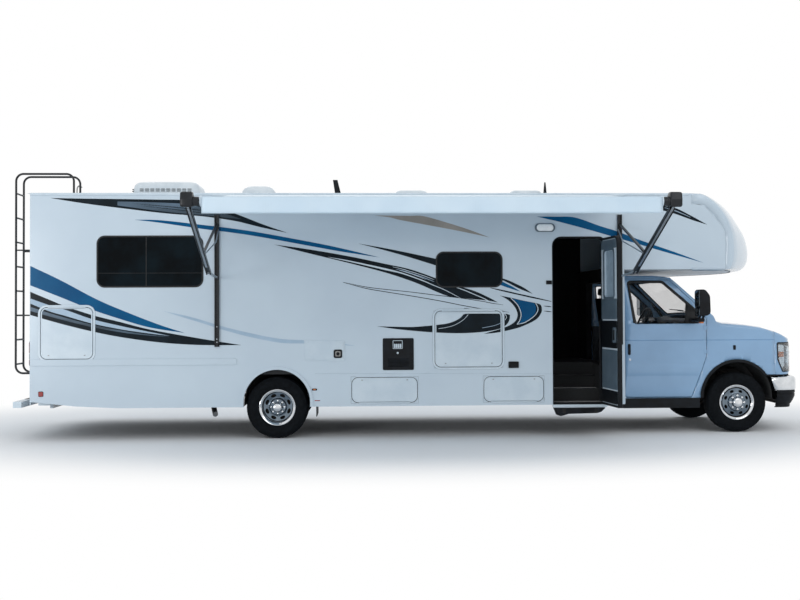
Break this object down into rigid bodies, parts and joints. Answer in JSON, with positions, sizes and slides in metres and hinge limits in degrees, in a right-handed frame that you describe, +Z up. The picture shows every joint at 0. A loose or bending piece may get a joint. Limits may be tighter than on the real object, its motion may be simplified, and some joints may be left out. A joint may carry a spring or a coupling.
{
  "type": "motorhome",
  "caption": "Class C motorhome with an overcab bunk on a cutaway van chassis: twin rear wheels, open entry door, awning pulled out, hinged lockers, hood and cab doors.",
  "frame": {"origin": "on the ground, on the vehicle's centreline, below the rear axle", "axes": "+X forward, +Y to the left, +Z up"},
  "size_m": [9.8195, 5.0248, 3.2529],
  "materials": {
    "gelcoat": "white gloss",
    "cab_paint": "white gloss",
    "black_plastic": "matt black",
    "chassis_black": "black chassis paint",
    "cast_iron": "bare casting",
    "steel": "dull steel",
    "chrome": "bright chrome",
    "aluminium": "satin",
    "tinted_glass": "dark tint",
    "lamp_lens": "clear and coloured lenses",
    "tyre": "black rubber",
    "awning_cloth": "coated canopy cloth",
    "floor_board": "sealed plywood",
    "grey_plastic": "matt grey",
    "upholstery": "woven grey",
    "white_plastic": "white gloss"
  },
  "bodies": {
    "vehicle": {"right_wall": "gelcoat", "left_wall": "gelcoat", "rear_wall": "gelcoat", "roof": "white_plastic", "front_cap": "gelcoat", "house_floor": "floor_board", "front_bulkhead": "floor_board", "entry_steps": "grey_plastic", "window_frames": "black_plastic", "fixed_glass": "tinted_glass", "service_hatches": "white_plastic", "awning_arms": "aluminium", "awning_roller": "aluminium", "awning_fabric": "awning_cloth", "ladder": "aluminium", "roof_units": "white_plastic", "rear_bumper": "chassis_black", "boards_and_flaps": "black_plastic", "frame_rails": "chassis_black", "front_axle": "cast_iron", "rear_axle": "cast_iron", "fuel_tank": "steel", "exhaust": "steel", "engine": "cast_iron", "cab_shell": "cab_paint", "fenders": "cab_paint", "front_panel": "cab_paint", "grille": "grey_plastic", "lamps": "lamp_lens", "front_bumper": "chrome", "seats": "upholstery", "dashboard": "grey_plastic"},
    "steer_left": {"knuckle_left": "cast_iron"},
    "steer_right": {"knuckle_right": "cast_iron"},
    "wheel_front_left_body": {"wheel_front_left": "chrome", "tyre_front_left": "tyre"},
    "wheel_front_right_body": {"wheel_front_right": "chrome", "tyre_front_right": "tyre"},
    "wheels_rear_left_body": {"wheels_rear_left": "chrome", "tyres_rear_left": "tyre"},
    "wheels_rear_right_body": {"wheels_rear_right": "chrome", "tyres_rear_right": "tyre"},
    "hood_body": {"hood": "cab_paint"},
    "cab_door_left_body": {"cab_door_left": "cab_paint", "mirror_left": "chrome"},
    "cab_door_right_body": {"cab_door_right": "cab_paint", "mirror_right": "chrome"},
    "entry_door_body": {"entry_door": "gelcoat"},
    "rear_locker_right_body": {"locker_door_rear_right": "gelcoat"},
    "dinette_locker_body": {"locker_door_dinette": "gelcoat"},
    "middle_skirt_right_body": {"skirt_door_middle_right": "gelcoat"},
    "front_skirt_right_body": {"skirt_door_front_right": "gelcoat"},
    "rear_locker_left_body": {"locker_door_rear_left": "gelcoat"},
    "middle_skirt_left_body": {"skirt_door_middle_left": "gelcoat"}
  },
  "joints": [
    {"name": "steer_left_turn", "type": "hinge", "parent": "vehicle", "child": "steer_left", "pos_m": [5.72, 0.76, 0.372], "axis": [0, 0, 1], "range_deg": [-35, 35]},
    {"name": "wheel_front_left_spin", "type": "hinge", "parent": "steer_left", "child": "wheel_front_left_body", "pos_m": [5.72, 0.8815, 0.372], "axis": [0, 1, 0], "continuous": true},
    {"name": "wheels_rear_left_spin", "type": "hinge", "parent": "vehicle", "child": "wheels_rear_left_body", "pos_m": [0, 0.983, 0.372], "axis": [0, 1, 0], "continuous": true},
    {"name": "cab_door_left_hinge", "type": "hinge", "parent": "vehicle", "child": "cab_door_left_body", "pos_m": [5.342, 1.0063, 1], "axis": [0, 0, -1], "range_deg": [0, 65]},
    {"name": "steer_right_turn", "type": "hinge", "parent": "vehicle", "child": "steer_right", "pos_m": [5.72, -0.76, 0.372], "axis": [0, 0, 1], "range_deg": [-35, 35]},
    {"name": "wheel_front_right_spin", "type": "hinge", "parent": "steer_right", "child": "wheel_front_right_body", "pos_m": [5.72, -0.8815, 0.372], "axis": [0, 1, 0], "continuous": true},
    {"name": "wheels_rear_right_spin", "type": "hinge", "parent": "vehicle", "child": "wheels_rear_right_body", "pos_m": [0, -0.983, 0.372], "axis": [0, 1, 0], "continuous": true},
    {"name": "cab_door_right_hinge", "type": "hinge", "parent": "vehicle", "child": "cab_door_right_body", "pos_m": [5.342, -1.0063, 1], "axis": [0, 0, 1], "range_deg": [0, 65]},
    {"name": "entry_door_hinge", "type": "hinge", "parent": "vehicle", "child": "entry_door_body", "pos_m": [3.989, -1.2783, 1.4], "axis": [0, 0, 1], "range_deg": [-95, 0]},
    {"name": "hood_hinge", "type": "hinge", "parent": "vehicle", "child": "hood_body", "pos_m": [5.4743, 0, 1.395], "axis": [0, -1, 0], "range_deg": [0, 50]},
    {"name": "rear_locker_right_hinge", "type": "hinge", "parent": "vehicle", "child": "rear_locker_right_body", "pos_m": [-2.5, -1.2763, 1.602], "axis": [-1, 0, 0], "range_deg": [0, 95]},
    {"name": "dinette_locker_hinge", "type": "hinge", "parent": "vehicle", "child": "dinette_locker_body", "pos_m": [2.3185, -1.2763, 1.54], "axis": [-1, 0, 0], "range_deg": [0, 95]},
    {"name": "middle_skirt_right_hinge", "type": "hinge", "parent": "vehicle", "child": "middle_skirt_right_body", "pos_m": [1.2975, -1.2763, 0.417], "axis": [1, 0, 0], "range_deg": [0, 95]},
    {"name": "front_skirt_right_hinge", "type": "hinge", "parent": "vehicle", "child": "front_skirt_right_body", "pos_m": [2.867, -1.2763, 0.417], "axis": [1, 0, 0], "range_deg": [0, 95]},
    {"name": "rear_locker_left_hinge", "type": "hinge", "parent": "vehicle", "child": "rear_locker_left_body", "pos_m": [-2.5, 1.2763, 1.602], "axis": [1, 0, 0], "range_deg": [0, 95]},
    {"name": "middle_skirt_left_hinge", "type": "hinge", "parent": "vehicle", "child": "middle_skirt_left_body", "pos_m": [1.2975, 1.2763, 0.417], "axis": [-1, 0, 0], "range_deg": [0, 95]}
  ],
  "couplings": [
    {"joint": "steer_right_turn", "follows": "steer_left_turn", "ratio": 1}
  ]
}
